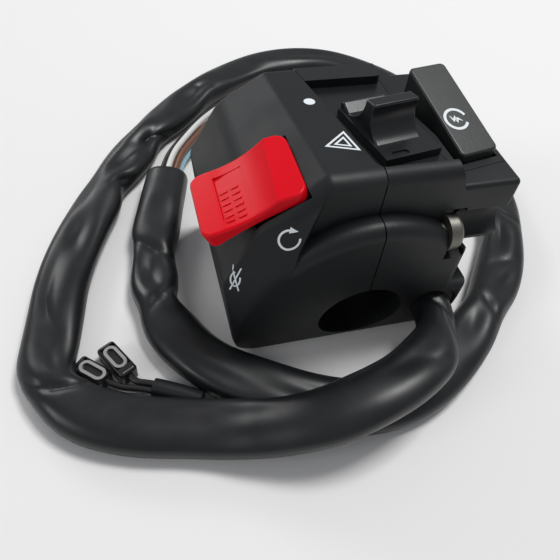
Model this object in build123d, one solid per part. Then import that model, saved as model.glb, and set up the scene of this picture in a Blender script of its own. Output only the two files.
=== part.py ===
from build123d import *
import math
import os

# Right-hand handlebar switch housing with its harness. Lengths are in millimetres.
# X runs across the bar, from the kill switch side to the start switch side. Y runs along
# the bar, from its inboard end to its outboard end. Z is up, towards the rider. The shapes
# are drawn about the parting plane at X = 0, and moved to the origin when they are written.

# Bar and clamp bore
bar_diameter = 22.2
bar_slack = 0.05
axis_height = 12.6

# Outer shell of the two halves
upper_reach = 35.5
lower_reach = 34.4
housing_height = 54.5
inboard_reach = 18.0
outboard_reach = 29.5
wall = 2.4
parting_gap = 0.3
deck_drop = 2.262
tunnel_wall = 2.2
edge_radius = 1.6
lip_radius = 3.2
collar_rim_radius = 3.2

# Clearances and overruns
overrun = 3.0
touch = 0.05
fit_gap = 0.15
pin_gap = 0.04
thread_gap = 0.05

# Kill side outline
kill_slope = 33.0
kill_foot = 32.2
kill_foot_radius = 9.0
flank_height = 30.0
flank_radius = 4.8
knee_reach = 27.8
knee_radius = 10.0
strip_reach = 12.4
slope_edge_radius = 3.0
near_rim_radius = 4.2

# Start side outline
start_foot = 20.0
start_foot_radius = 8.0
start_flank = 29.0
start_flank_height = 22.0
start_shelf_height = 29.0
platform_drop = 5.5
platform_inner = 19.6
platform_edge_radius = 1.2
bridge_reach = 17.6

# Collar round the bar at the inboard end, and the shoulder beside it
collar_depth = 5.6
collar_radius = 31.4
shoulder_rim_reach = 43.7
ridge_radius = 9.0
face_bend_height = 27.0
face_bend_fall = 4.3
pocket_splay_share = 0.9
collar_right_reach = 24.0
shoulder_top_reach = 12.4
shoulder_low_reach = 15.6
shoulder_low_height = 39.6
shoulder_foot_height = 33.0
shoulder_foot_radius = 12.0

# Notch under the screw channel, at the inboard end of the start side
notch_low = 19.0
notch_high = 31.6
notch_depth = 10.0

# Clamp screws and washers
screw_radius = 2.5
screw_clearance = 0.2
screw_head_radius = 4.3
screw_head_height = 2.8
screw_seat = 17.0
screw_tip_reach = 15.5
near_screw_y = -19.6
near_screw_drop = 12.0
far_screw_inset = 6.4
far_screw_height = 31.5
channel_radius = 4.8
window_reach = 22.6
window_half_height = 5.4
boss_wall = 2.2
driver_slot_width = 1.2
driver_slot_length = 4.6
driver_slot_depth = 1.2
washer_radius = 4.5
washer_thickness = 0.8

# Hazard switch: its place in the deck
hazard_turn = 10.0
slot_near = 3.5
slot_left = 0.9
slot_left_far = 7.6
slot_right = 17.4
slot_right_far = 14.8
slot_taper_length = 15.0
slot_corner_radius = 2.2
slot_depth = 2.2
slot_plate_thickness = 2.4
slot_flange = 0.9
rim_length = 6.6
rim_reach = 14.4
rim_corner_radius = 1.6

# Hazard switch: the sliding knob, in its own turned axes
slider_near = 6.0
slider_left = 1.8
slider_width = 14.5
slider_length = 22.0
slider_gap = 0.1
slider_thickness = 1.8
knob_left = 0.7
knob_width = 11.8
knob_rise = 9.6
knob_near = 8.8
knob_top_length = 3.8
knob_top_fall = 0.3
scoop_start = 1.6
scoop_middle = 8.6
scoop_rise = 4.5
back_middle = 14.6
back_rise = 4.4
back_foot = 18.4
back_foot_rise = 2.3
tail_start = 21.2
tail_rise = 3.6
knob_edge_radius = 0.5
dimple_length = 4.4
dimple_width = 1.6
dimple_depth = 0.4
dimple_left = 4.4
dimple_near = 1.5
slide_travel = 7.0

# Hazard switch: what is under the knob
stem_left = 4.6
stem_near = 9.0
stem_width = 4.0
stem_length = 5.0
stem_depth = 4.6
blade_thickness = 0.5
blade_overhang = 1.4
tray_left = 1.0
tray_near = 5.0
tray_width = 11.0
tray_length = 20.0
tray_depth = 7.4
tray_wall = 1.5
rivet_radius = 1.0
rivet_pitch = 5.0

# Start button and its bezel, in the button's turned axes
button_turn = 10.0
button_near = 7.7
button_left = 21.8
button_width = 10.5
button_length = 26.4
button_front_rise = 2.3
button_slope = 15.5
button_gap = 0.35
button_travel = 3.0
button_wall = 1.4
button_hook = 0.8
button_hook_thickness = 1.2
button_hook_inset = 2.0
button_stop_gap = 0.1
button_corner_radius = 1.4
button_edge_radius = 0.6
bezel_depth = 8.4
bezel_top = 2.6
bezel_side = 1.2
bezel_seam = 2.4
slot_bezel_gap = 0.4
start_base_thickness = 2.6
start_base_near = 1.2
start_base_left = 1.4
start_base_length = 26.8
start_base_width = 12.4
spring_radius = 2.9
spring_wire = 0.35
spring_turns = 5
spring_along = 8.0
spring_post_gap = 0.3
spring_post_height = 2.0
start_blade_along = 14.0
start_blade_length = 5.0

# Kill rocker, in axes at its pivot
rocker_tilt = -4.5
rocker_centre_x = 27.4
rocker_mid_y = -7.4
rocker_length = 24.4
rocker_width = 19.6
pivot_depth = 4.5
rocker_skirt = 3.9
rocker_crest = 4.9
rocker_middle = 6.8
rocker_left_top = 8.1
rocker_left_edge = 0.7
rocker_facet = 4.4
rocker_facet_fall = 0.7
rocker_crest_x = 7.0
rocker_crest_top = 8.0
rocker_end_top = 10.6
rocker_crest_fall_share = 0.25
rocker_crest_skew_share = 0.05
rocker_corner_radius = 3.0
rocker_edge_radius = 0.6
panel_depth = 0.15
panel_left = 6.6
panel_length = 7.0
panel_width = 13.6
stem_half_length = 4.8
stem_half_width = 5.8
stem_foot = 2.6
tail_depth = 9.0
tail_half_length = 2.6
seat_depth = 2.1
seat_left = 1.0
seat_margin = 0.5
rocker_window_gap = 1.0
pin_radius = 1.5
ear_thickness = 2.2
ear_gap = 0.3
ear_half_length = 3.6
plunger_radius = 1.3
plunger_length = 2.8
plunger_reach = 0.8
plunger_bore_depth = 5.0

# Kill switch base under the rocker
kill_base_drop = 10.2
kill_base_thickness = 3.4
kill_base_half_length = 7.0
kill_base_near = 6.5
kill_base_far = 13.0
kill_pad_length = 2.6
kill_pad_width = 4.0
kill_pad_offset = 0.7
kill_pad_thickness = 0.2
kill_leg_thickness = 0.8
kill_leg_width = 2.0
kill_leg_length = 3.0
post_radius = 2.2
post_spread = 4.4
post_along = 10.6
base_screw_radius = 1.0
base_screw_length = 7.0
base_screw_head_radius = 1.9
base_screw_head_height = 1.2

# Harness outlet
sleeve_diameter = 10.0
grommet_x = 20.0
grommet_height = 11.8
grommet_recess = 2.9
grommet_slack = 0.1
grommet_wall = 1.2
grommet_flange = 0.8
grommet_flange_length = 1.4
grommet_length = 6.6

# Wires, and the connector that they end in
wire_diameter = 2.0
connector_x = 13.0
connector_face_y = 66.0
connector_width = 17.0
connector_length = 21.0
connector_height = 12.0
connector_wall = 1.3
connector_mouth_depth = 9.0
connector_edge_radius = 0.8
connector_column = 5.0
connector_row_low = 3.4
connector_row_high = 8.6
latch_width = 5.0
latch_length = 12.0
latch_thickness = 1.1
latch_gap = 0.9

# Brake switch branch: its sleeve, and two terminals in their boots
branch_diameter = 5.0
branch_wire_diameter = 1.8
near_boot_length = 9.0
far_boot_length = 11.0
boot_width = 5.0
boot_height = 4.4
boot_edge_radius = 1.0
terminal_length = 7.4
terminal_width = 3.6
terminal_wire = 0.8
terminal_inset = 1.2

# Routes of the free cords. The sleeve's bends about three diameters wide are where it
# lies loose, and the tighter ones are its fold at the outlet and its fold at the far left.
sleeve_route = [
    (20.0, -19.4, 11.8),
    (20.0, -26.6, 11.8),
    (15.0, -37.0, 15.6),
    (4.6, -44.2, 16.8),
    (-6.6, -47.4, 16.0),
    (-18.0, -48.4, 13.0),
    (-30.0, -45.8, 7.6),
    (-43.5, -41.0, 5.0),
    (-58.6, -36.6, 5.0),
    (-71.8, -30.0, 5.0),
    (-82.0, -19.3, 5.0),
    (-78.0, -4.6, 5.0),
    (-74.4, 11.8, 5.0),
    (-67.6, 31.0, 5.0),
    (-57.6, 51.5, 5.0),
    (-44.2, 72.5, 5.0),
    (-25.0, 94.8, 5.0),
    (0.4, 113.2, 5.0),
    (28.0, 117.4, 5.0),
    (50.2, 102.4, 5.0),
    (63.8, 78.4, 5.0),
    (68.8, 53.0, 5.0),
    (68.8, 29.0, 5.0),
    (62.9, 8.0, 5.0),
    (50.6, -11.6, 5.0),
    (35.4, -26.4, 5.0),
    (21.6, -36.8, 5.0),
    (9.0, -43.2, 5.0),
    (-4.5, -44.6, 5.0),
    (-17.0, -40.0, 5.0),
    (-28.2, -33.0, 5.0),
    (-39.8, -24.8, 5.0),
    (-47.4, -12.6, 5.0),
    (-50.6, 2.2, 5.0),
    (-49.4, 17.4, 5.0),
    (-45.2, 32.0, 5.0),
    (-41.0, 47.5, 5.0),
]

# The middle of the wires' bundle, from the sleeve's open end to the connector. Each wire
# has a place beside that line at both ends: how far to its left, and how high.
loom_route = [
    (-41.0, 47.5),
    (-38.48, 56.8),
    (-32.2, 66.4),
    (-24.0, 77.0),
    (-13.4, 86.0),
    (-1.0, 89.4),
    (9.4, 85.4),
    (13.0, 76.0),
    (13.0, 66.0),
]
wire_places = {
    "black_wire": ((2.2, 5.0), (1, connector_row_low)),
    "white_wire": ((0.0, 6.8), (1, connector_row_high)),
    "brown_wire": ((-2.6, 6.2), (-1, connector_row_high)),
    "second_brown_wire": ((-0.6, 4.2), (0, connector_row_high)),
    "light_blue_wire": ((-3.0, 3.6), (-1, connector_row_low)),
    "green_yellow_wire": ((-0.8, 1.9), (0, connector_row_low)),
}
branch_route = [
    (-43.2, -32.9, 2.5),
    (-48.8, -29.4, 2.5),
    (-54.0, -27.0, 2.5),
]
branch_wire_spread = 0.95
near_wire_lead = 3.4
far_wire_lead = 2.2
near_boot_start = (-65.0, -22.6)
near_boot_turn = 137.7
far_boot_start = (-59.3, -22.4)
far_boot_turn = 120.5

# Derived places
far = 2 * upper_reach
bore_radius = bar_diameter / 2 + bar_slack
tunnel_radius = bore_radius + tunnel_wall
collar_face = inboard_reach + collar_depth
near_wall_inside = wall - inboard_reach
far_wall_inside = outboard_reach - wall
far_screw_y = outboard_reach - far_screw_inset
platform_height = housing_height - platform_drop
button_front_height = platform_height + button_front_rise
near_screw_height = platform_height - near_screw_drop
deck_length = inboard_reach + outboard_reach
rim_start = deck_length - rim_length
deck_angle = math.atan2(deck_drop, deck_length)
knee_height = housing_height - (knee_reach - strip_reach) * math.tan(math.radians(kill_slope))
rocker_centre_height = housing_height - (rocker_centre_x - strip_reach) * math.tan(
    math.radians(kill_slope)
)
bezel_foot = platform_height - bezel_depth
bezel_ceiling = platform_height - bezel_top
button_foot = bezel_ceiling - button_stop_gap - button_hook_thickness
button_ceiling = button_front_height - button_wall
sleeve_radius = sleeve_diameter / 2
grommet_bore = sleeve_radius + grommet_slack
grommet_radius = grommet_bore + grommet_wall
hazard_floor = -slot_depth - slot_plate_thickness
slider_foot = slider_gap - slot_depth
ear_start = stem_half_width + ear_gap
ear_end = ear_start + ear_thickness


def along_bar(outline, y_near, y_far):
    """A prism along the bar from an outline drawn in X and Z."""
    plane = Plane(origin=(0, y_far, 0), x_dir=(1, 0, 0), z_dir=(0, -1, 0))
    return extrude(plane * outline, amount=y_far - y_near)


def across_bar(outline, x_low, x_high):
    """A prism across the bar from an outline drawn in Y and Z."""
    plane = Plane(origin=(x_low, 0, 0), x_dir=(0, 1, 0), z_dir=(1, 0, 0))
    return extrude(plane * outline, amount=x_high - x_low)


def rod_along(axis, radius, length, place):
    """A cylinder that starts at a place and runs along an axis."""
    return extrude(Plane(origin=place, z_dir=axis) * Circle(radius), amount=length)


def block(x_range, y_range, z_range):
    """A box between two corners."""
    ranges = (x_range, y_range, z_range)
    middle = [(low + high) / 2 for low, high in ranges]
    return Pos(*middle) * Box(*[high - low for low, high in ranges])


def block_on(plane, x_range, y_range, z_range):
    """A box between two corners that are given in a plane's own axes."""
    return plane * block(x_range, y_range, z_range)


def rod_on(plane, place, radius, low, high):
    """A cylinder square to a plane, between two heights above it."""
    return extrude(plane.offset(low) * Pos(*place) * Circle(radius), amount=high - low)


def round_corner(face, place, radius):
    """Rounds the corner of a face that is nearest to a place."""
    corner = face.vertices().sort_by(lambda v: math.dist((v.X, v.Y), place))[0]
    return fillet(corner, radius)


def edges_where(shape, test):
    """The edges of a shape whose bounding boxes pass a test."""
    return ShapeList([edge for edge in shape.edges() if test(edge.bounding_box())])


def near_to(value, place):
    return abs(value - place) < touch


def closed(*points):
    """A flat face inside a closed outline of straight sides."""
    return make_face(Polyline(*points, points[0]))


# The deck is the rider's face. Its local X runs across, its local Y along it from the
# inboard edge, and its local Z out of it.
deck = Plane(
    origin=(0, -inboard_reach, housing_height),
    x_dir=(1, 0, 0),
    z_dir=(0, math.sin(deck_angle), math.cos(deck_angle)),
)
slider_plane = Plane(
    origin=deck.from_local_coords((slider_left, slider_near, 0)),
    x_dir=deck.x_dir * math.cos(math.radians(hazard_turn))
    + deck.y_dir * math.sin(math.radians(hazard_turn)),
    z_dir=deck.z_dir,
)
button_plane = Plane(
    origin=(button_left, button_near - inboard_reach, 0),
    x_dir=(math.cos(math.radians(button_turn)), math.sin(math.radians(button_turn)), 0),
    z_dir=(0, 0, 1),
)


def rocker_frame(slope):
    """Axes at the rocker's pivot: X up the slope, Y along the pin, Z out of the housing."""
    seat = math.radians(kill_slope)
    angle = math.radians(slope)
    pivot = (
        -rocker_centre_x + pivot_depth * math.sin(seat),
        rocker_mid_y,
        rocker_centre_height - pivot_depth * math.cos(seat),
    )
    return Plane(
        origin=pivot,
        x_dir=(math.cos(angle), 0, math.sin(angle)),
        z_dir=(-math.sin(angle), 0, math.cos(angle)),
    )


seat_plane = rocker_frame(kill_slope)
rocker_plane = rocker_frame(kill_slope + rocker_tilt)


def kill_outline():
    """Half outline on the kill side: foot, flank, slope under the rocker, and deck strip."""
    foot = (-kill_foot, 0)
    flank = (-upper_reach, flank_height)
    knee = (-knee_reach, knee_height)
    face = closed((0, 0), foot, flank, knee, (-strip_reach, housing_height), (0, housing_height))
    face = round_corner(face, foot, kill_foot_radius)
    face = round_corner(face, flank, flank_radius)
    return round_corner(face, knee, knee_radius)


def start_outline():
    """Half outline on the start side: foot, cut-back flank, platform and bridge."""
    foot = (start_foot + start_foot_radius, 0)
    face = closed(
        (0, 0),
        foot,
        (start_flank, start_flank_height),
        (lower_reach, start_shelf_height),
        (lower_reach, platform_height),
        (platform_inner, platform_height),
        (bridge_reach, housing_height),
        (0, housing_height),
    )
    return round_corner(face, foot, start_foot_radius)


def above_deck(height):
    """The space above the sloping deck."""
    return extrude(deck.offset(height) * Rectangle(2 * far, 2 * far), amount=far)


def shoulder_trim():
    """What is cut off the inboard end above the sloping shoulder of the kill side."""
    outline = closed(
        (-inboard_reach, housing_height),
        (-collar_face, shoulder_foot_height),
        (-collar_face - overrun, shoulder_foot_height),
        (-collar_face - overrun, housing_height + overrun),
        (-inboard_reach, housing_height + overrun),
    )
    return across_bar(outline, -far, far)


def end_form():
    """The kill side's inboard end: the collar's face, its soft ridge, and a cone behind it."""
    slope_share = (collar_face - inboard_reach) / (shoulder_rim_reach - collar_radius)
    far_rise = (far - collar_radius) * slope_share
    profile = closed(
        (0, outboard_reach + overrun),
        (0, -collar_face),
        (collar_radius, -collar_face),
        (far, far_rise - collar_face),
        (far, outboard_reach + overrun),
    )
    profile = round_corner(profile, (collar_radius, -collar_face), ridge_radius)
    form = revolve(profile, axis=Axis.Y, revolution_arc=360)
    return Pos(0, 0, axis_height) * form


def face_bend():
    """What is cut off the inboard face below its bend, where it curves back to its foot."""
    drop = face_bend_height
    bend = (drop**2 + face_bend_fall**2) / (2 * face_bend_fall)
    middle_fall = bend - math.sqrt(bend**2 - (drop / 2) ** 2)
    lines = [
        Line((-collar_face - overrun, drop), (-collar_face, drop)),
        ThreePointArc(
            (-collar_face, drop),
            (middle_fall - collar_face, drop / 2),
            (face_bend_fall - collar_face, 0),
        ),
        Line((face_bend_fall - collar_face, 0), (face_bend_fall - collar_face, -overrun)),
        Line((face_bend_fall - collar_face, -overrun), (-collar_face - overrun, -overrun)),
        Line((-collar_face - overrun, -overrun), (-collar_face - overrun, drop)),
    ]
    return across_bar(make_face(Curve() + lines), -far, far)


def shoulder_pocket():
    """The recess above the collar, right of the shoulder's edge, with a splayed left wall."""
    outline = closed(
        (-shoulder_top_reach, housing_height + overrun),
        (-shoulder_top_reach, housing_height),
        (-shoulder_low_reach, shoulder_low_height),
        (-shoulder_low_reach, shoulder_foot_height),
        (upper_reach, shoulder_foot_height),
        (upper_reach, housing_height + overrun),
    )
    plane = Plane(origin=(0, -inboard_reach, 0), x_dir=(1, 0, 0), z_dir=(0, -1, 0))
    depth = collar_depth + overrun
    return extrude(plane * outline, amount=depth, dir=(-pocket_splay_share, -1, 0))


def collar_disc():
    """The clamp collar: a disc round the bar, with its inboard rim rounded."""
    disc = rod_along(
        (0, -1, 0), collar_radius, collar_face + near_wall_inside, (0, near_wall_inside, axis_height)
    )
    rim = disc.edges().filter_by(GeomType.CIRCLE).sort_by(Axis.Y)[0]
    return fillet(rim, collar_rim_radius)


def kill_body():
    """The closed outer form of the kill side half."""
    body = along_bar(kill_outline(), -collar_face, outboard_reach)
    body = body - above_deck(0) - shoulder_trim()
    foot = edges_where(
        body,
        lambda b: near_to(b.max.Y, -collar_face)
        and near_to(b.min.Z, shoulder_foot_height)
        and near_to(b.max.Z, shoulder_foot_height),
    )
    body = fillet(foot, shoulder_foot_radius)
    strip = edges_where(
        body,
        lambda b: near_to(b.max.X, -strip_reach)
        and near_to(b.max.Y, outboard_reach)
        and b.size.Y > inboard_reach,
    )
    body = fillet(strip, slope_edge_radius)
    near_rim = edges_where(
        body,
        lambda b: b.max.Y < touch - inboard_reach
        and b.max.X < touch - strip_reach
        and b.size.Z > touch,
    )
    body = fillet(near_rim, near_rim_radius)
    far_rim = edges_where(
        body,
        lambda b: near_to(b.min.Y, outboard_reach) and (b.max.X < -touch or b.size.X > touch),
    )
    body = (fillet(far_rim, edge_radius) & end_form()) - shoulder_pocket()
    body = body + (collar_disc() & block((-far, 0), (-far, far), (axis_height, far)))
    return body - face_bend()


def start_body():
    """The closed outer form of the start side half."""
    body = along_bar(start_outline(), -inboard_reach, outboard_reach) - above_deck(0)
    far_rim = edges_where(body, lambda b: b.max.X > touch and near_to(b.min.Y, outboard_reach))
    body = fillet(far_rim, edge_radius)
    lip = edges_where(
        body, lambda b: near_to(b.max.Y, -inboard_reach) and near_to(b.min.Z, housing_height)
    )
    body = fillet(lip, lip_radius)
    platform = edges_where(
        body,
        lambda b: (near_to(b.min.X, lower_reach) and near_to(b.min.Z, platform_height))
        or (
            near_to(b.max.Y, -inboard_reach)
            and near_to(b.max.Z, platform_height)
            and b.max.X > platform_inner + touch
        ),
    )
    body = fillet(platform, platform_edge_radius)
    notch = block(
        (collar_right_reach, far), (-far, notch_depth - inboard_reach), (notch_low, notch_high)
    )
    return body - notch + start_collar()


def start_collar():
    """The collar's start side and the foot beside it, with their inboard rim rounded."""
    low = start_outline() & closed((0, 0), (far, 0), (far, notch_low), (0, notch_low))
    reach = closed(
        (0, axis_height),
        (collar_right_reach, axis_height),
        (collar_right_reach, far),
        (0, far),
    )
    ring = (Pos(0, axis_height) * Circle(collar_radius)) & reach
    body = along_bar(low, -collar_face, near_wall_inside)
    body = body + along_bar(ring, -collar_face, near_wall_inside)
    rim = edges_where(body, lambda b: near_to(b.max.Y, -collar_face) and b.max.X > touch)
    return fillet(rim, collar_rim_radius) - face_bend()


def screw_places():
    return ((near_screw_y, near_screw_height), (far_screw_y, far_screw_height))


def screw_channel(place, radius, start):
    """The way in for a screw's head, from the start side."""
    return rod_along((1, 0, 0), radius, far, (start, *place))


def cavity():
    """The hollow of both halves: the outline less its wall, less all that stands in it."""
    outline = offset(kill_outline() + start_outline(), amount=-wall)
    outline = outline - Pos(0, axis_height) * Circle(tunnel_radius)
    hollow = along_bar(outline, near_wall_inside, far_wall_inside) - above_deck(-wall)
    notch = block(
        (collar_right_reach - wall, far),
        (-far, notch_depth - inboard_reach + wall),
        (notch_low - wall, notch_high + wall),
    )
    window = screw_window(wall)
    hollow = hollow - notch - window - rocker_seat_backing()
    for place in screw_places():
        boss = rod_along(
            (1, 0, 0),
            screw_radius + boss_wall,
            screw_tip_reach + screw_seat + wall,
            (-screw_tip_reach - wall, *place),
        )
        hollow = hollow - boss
        hollow = hollow - screw_channel(place, channel_radius + boss_wall, screw_seat - wall)
    return hollow


def screw_window(margin):
    """The opening in the collar beside the inboard screw's head."""
    return block(
        (screw_seat - margin, window_reach + margin),
        (-far, near_screw_y + window_half_height + margin),
        (
            near_screw_height - window_half_height - margin,
            near_screw_height + window_half_height + margin,
        ),
    )


def rocker_seat_backing():
    """Wall left under the rocker's seat."""
    half_width = rocker_width / 2 + seat_margin + wall
    return block_on(
        seat_plane,
        (-seat_left - stem_half_length - wall, rocker_length / 2 + seat_margin + wall),
        (-half_width, half_width),
        (pivot_depth - seat_depth - wall, far),
    )


def rocker_seat():
    """The shallow seat that the rocker's upper end dips into, and its stem's window."""
    half_width = rocker_width / 2 + seat_margin
    seat = block_on(
        seat_plane,
        (-seat_left, rocker_length / 2 + seat_margin),
        (-half_width, half_width),
        (pivot_depth - seat_depth, far),
    )
    window_half = stem_half_length + rocker_window_gap
    window = block_on(
        seat_plane, (-window_half, window_half), (-ear_start, ear_start), (-pivot_depth, far)
    )
    return seat + window


def rocker_supports():
    """The pin's two ears and the base's two posts, inside the kill side half."""
    top = pivot_depth - seat_depth - wall + touch
    supports = []
    for start in (-ear_end, ear_start):
        ear = block_on(
            seat_plane,
            (-ear_half_length, ear_half_length),
            (start, start + ear_thickness),
            (-kill_base_drop, top),
        )
        supports.append(ear)
    for side in (-post_spread, post_spread):
        post = rod_on(seat_plane, (side, post_along), post_radius, -kill_base_drop, top)
        supports.append(post)
    return supports


def pin_hole(radius):
    """A cylinder along the rocker's pin, from ear to ear."""
    start = seat_plane.from_local_coords((0, -ear_end, 0))
    return rod_along((0, 1, 0), radius, 2 * ear_end, start)


def slot_outline(margin, right_margin, s_far):
    """The hazard switch's opening in the deck, in the deck's own axes."""
    taper = slot_near + slot_taper_length
    spread_share = (s_far - slot_near) / (deck_length - slot_near)
    left_far = slot_left + (slot_left_far - slot_left) * spread_share
    face = closed(
        (-slot_left - margin, slot_near - margin),
        (slot_right + right_margin, slot_near - margin),
        (slot_right_far + right_margin, taper),
        (slot_right_far + right_margin, s_far),
        (-left_far - margin, s_far),
    )
    face = round_corner(face, (-slot_left - margin, slot_near - margin), slot_corner_radius)
    near_right = (slot_right + right_margin, slot_near - margin)
    return round_corner(face, near_right, slot_corner_radius)


def deck_prism(outline, low, high):
    """A prism on the deck between two heights above it."""
    return extrude(deck.offset(low) * outline, amount=high - low)


def slot_cut():
    """The opening for the slot plate, its flange's groove, and the lowered deck beside it."""
    opening = slot_outline(0, 0, deck_length + overrun)
    groove = slot_outline(slot_flange + fit_gap, 0, deck_length - wall)
    shelf = closed(
        (slot_right_far - fit_gap, slot_near),
        (platform_inner + overrun, slot_near),
        (platform_inner + overrun, deck_length + overrun),
        (slot_right_far - fit_gap, deck_length + overrun),
    )
    cut = deck_prism(opening, hazard_floor - fit_gap, overrun)
    cut = cut + deck_prism(groove, hazard_floor - fit_gap, -wall)
    return cut + deck_prism(shelf, -slot_depth, overrun)


def bezel_zone(inset, z_low, z_high):
    """The start bezel's space, in plan to the left and inboard of the button."""
    left = button_gap + bezel_side - inset
    zone = block_on(button_plane, (-left, far), (-bezel_seam + inset, far), (z_low, z_high))
    return zone & block(
        (slot_right_far + slot_bezel_gap + inset, far), (-far, far), (-far, far)
    )


def shared_cuts():
    """What is cut from both halves before they are parted."""
    bore = rod_along(
        (0, -1, 0),
        bore_radius,
        collar_face + outboard_reach + 2 * overrun,
        (0, outboard_reach + overrun, axis_height),
    )
    return [cavity(), bore, slot_cut()]


def screw_hole(place, radius, x_low, x_high):
    return rod_along((1, 0, 0), radius, x_high - x_low, (x_low, *place))


def kill_side_housing():
    body = kill_body()
    for cut in shared_cuts():
        body = body - cut
    for support in rocker_supports():
        body = body + support
    body = body - rocker_seat() - pin_hole(pin_radius + pin_gap)
    for side in (-post_spread, post_spread):
        low = -kill_base_drop - overrun
        high = kill_base_thickness + touch - kill_base_drop - kill_base_thickness
        pilot = rod_on(
            seat_plane,
            (side, post_along),
            base_screw_radius + thread_gap,
            low,
            high + base_screw_length - kill_base_thickness,
        )
        body = body - pilot
    for place in screw_places():
        tip = -screw_tip_reach - fit_gap
        body = body - screw_hole(place, screw_radius + thread_gap, tip, overrun)
    return body & block((-far, -parting_gap / 2), (-far, far), (-far, far))


def start_side_housing():
    body = start_body()
    for cut in shared_cuts():
        body = body - cut
    body = body - screw_window(0)
    body = body - bezel_zone(-fit_gap, bezel_foot, far)
    for place in screw_places():
        hole = screw_hole(place, screw_radius + screw_clearance, -overrun, screw_seat + overrun)
        body = body - hole - screw_channel(place, channel_radius, screw_seat)
    hole = rod_along(
        (0, -1, 0),
        grommet_radius + grommet_slack,
        collar_depth + 2 * wall + overrun,
        (grommet_x, near_wall_inside + wall, grommet_height),
    )
    seat = rod_along(
        (0, -1, 0),
        grommet_radius + grommet_flange + grommet_slack,
        grommet_recess + overrun,
        (grommet_x, grommet_recess - collar_face, grommet_height),
    )
    body = body - hole - seat
    return body & block((parting_gap / 2, far), (-far, far), (-far, far))


def rocker_outline():
    """The rocker's side: its left facet, its finger hollow, its right end and its underside."""
    half = rocker_length / 2
    facet_end = -half + rocker_left_edge + rocker_facet
    left_top = (-half + rocker_left_edge, rocker_left_top)
    facet_top = (facet_end, rocker_left_top - rocker_facet_fall)
    middle = ((facet_end + rocker_crest_x) / 2, rocker_middle)
    end_top = (half, rocker_end_top)
    lines = [
        Line((-half, rocker_skirt), (-half, rocker_left_top - rocker_left_edge)),
        Line((-half, rocker_left_top - rocker_left_edge), left_top),
        Line(left_top, facet_top),
        ThreePointArc(facet_top, middle, end_top),
        Line(end_top, (half, rocker_skirt)),
        ThreePointArc((half, rocker_skirt), (0, rocker_crest), (-half, rocker_skirt)),
    ]
    return make_face(Curve() + lines)


def on_rocker_rim(edge):
    """Whether an edge lies on the rocker's side faces, its right end or a corner by it."""
    for share in (0, 0.5, 1):
        x, y, z = rocker_plane.to_local_coords(edge @ share)
        on_side = near_to(abs(y), rocker_width / 2)
        on_end = near_to(x, rocker_length / 2)
        corner = (rocker_length / 2 - rocker_corner_radius, rocker_width / 2 - rocker_corner_radius)
        on_corner = near_to(math.dist((x, abs(y)), corner), rocker_corner_radius)
        if not (on_side or on_end or on_corner):
            return False
    ends = [rocker_plane.to_local_coords(edge @ share) for share in (0, 1)]
    return math.dist(tuple(ends[0])[:2], tuple(ends[1])[:2]) > touch


def kill_rocker():
    half_width = rocker_width / 2
    side_plane = Plane(
        origin=rocker_plane.from_local_coords((0, half_width, 0)),
        x_dir=rocker_plane.x_dir,
        z_dir=(0, -1, 0),
    )
    cap = extrude(side_plane * rocker_outline(), amount=rocker_width)
    facet = Plane(
        origin=rocker_plane.from_local_coords((rocker_crest_x, 0, rocker_crest_top)),
        x_dir=rocker_plane.x_dir - rocker_plane.z_dir * rocker_crest_fall_share,
        z_dir=rocker_plane.z_dir
        + rocker_plane.x_dir * rocker_crest_fall_share
        - rocker_plane.y_dir * rocker_crest_skew_share,
    )
    cap = cap - extrude(facet * Rectangle(2 * far, 2 * far), amount=far)
    plan = RectangleRounded(rocker_length, rocker_width, rocker_corner_radius)
    cap = cap & extrude(rocker_plane * plan, amount=rocker_end_top + overrun)
    floor = rocker_crest + rocker_edge_radius
    rim = [
        edge
        for edge in cap.edges()
        if on_rocker_rim(edge) and rocker_plane.to_local_coords(edge.center()).Z > floor
    ]
    cap = fillet(rim, rocker_edge_radius)
    panel = block_on(
        rocker_plane,
        (-panel_left, panel_length - panel_left),
        (-panel_width / 2, panel_width / 2),
        (rocker_middle - panel_depth, far),
    )
    stem = block_on(
        rocker_plane,
        (-stem_half_length, stem_half_length),
        (-stem_half_width, stem_half_width),
        (-stem_foot, rocker_crest + touch),
    )
    tail = block_on(
        rocker_plane,
        (-tail_half_length, tail_half_length),
        (-stem_half_width, stem_half_width),
        (-tail_depth, -stem_foot),
    )
    low = -tail_depth - overrun
    bore = rod_on(
        rocker_plane, (0, 0), plunger_radius + thread_gap, low, plunger_bore_depth - tail_depth
    )
    return cap - panel + stem + tail - bore - pin_hole(pin_radius + pin_gap)


def rocker_pin():
    return pin_hole(pin_radius)


def rocker_plunger():
    """The brass plunger in the rocker's tail, with a rounded tip."""
    low = -tail_depth - plunger_reach
    rod = rod_on(rocker_plane, (0, 0), plunger_radius, low, low + plunger_length)
    tip = edges_where(
        rod,
        lambda b: rocker_plane.to_local_coords(b.center()).Z < low + touch,
    )
    return fillet(tip, plunger_radius / 2)


def rocker_spring():
    """The plunger's spring, in the bore behind it."""
    low = -tail_depth - plunger_reach + plunger_length
    high = plunger_bore_depth - tail_depth
    radius = plunger_radius - spring_wire
    return coil(rocker_plane.offset(low), radius, high - low, spring_wire / 2)


def coil(plane, radius, height, wire):
    """A compression spring that stands on a plane, between its two end turns' outsides."""
    rise = height - 2 * wire
    helix = Helix(pitch=rise / spring_turns, height=rise, radius=radius)
    section = Plane(origin=helix @ 0, z_dir=helix % 0) * RegularPolygon(wire, 8)
    return plane * Pos(0, 0, wire) * sweep(section, path=helix)


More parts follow.
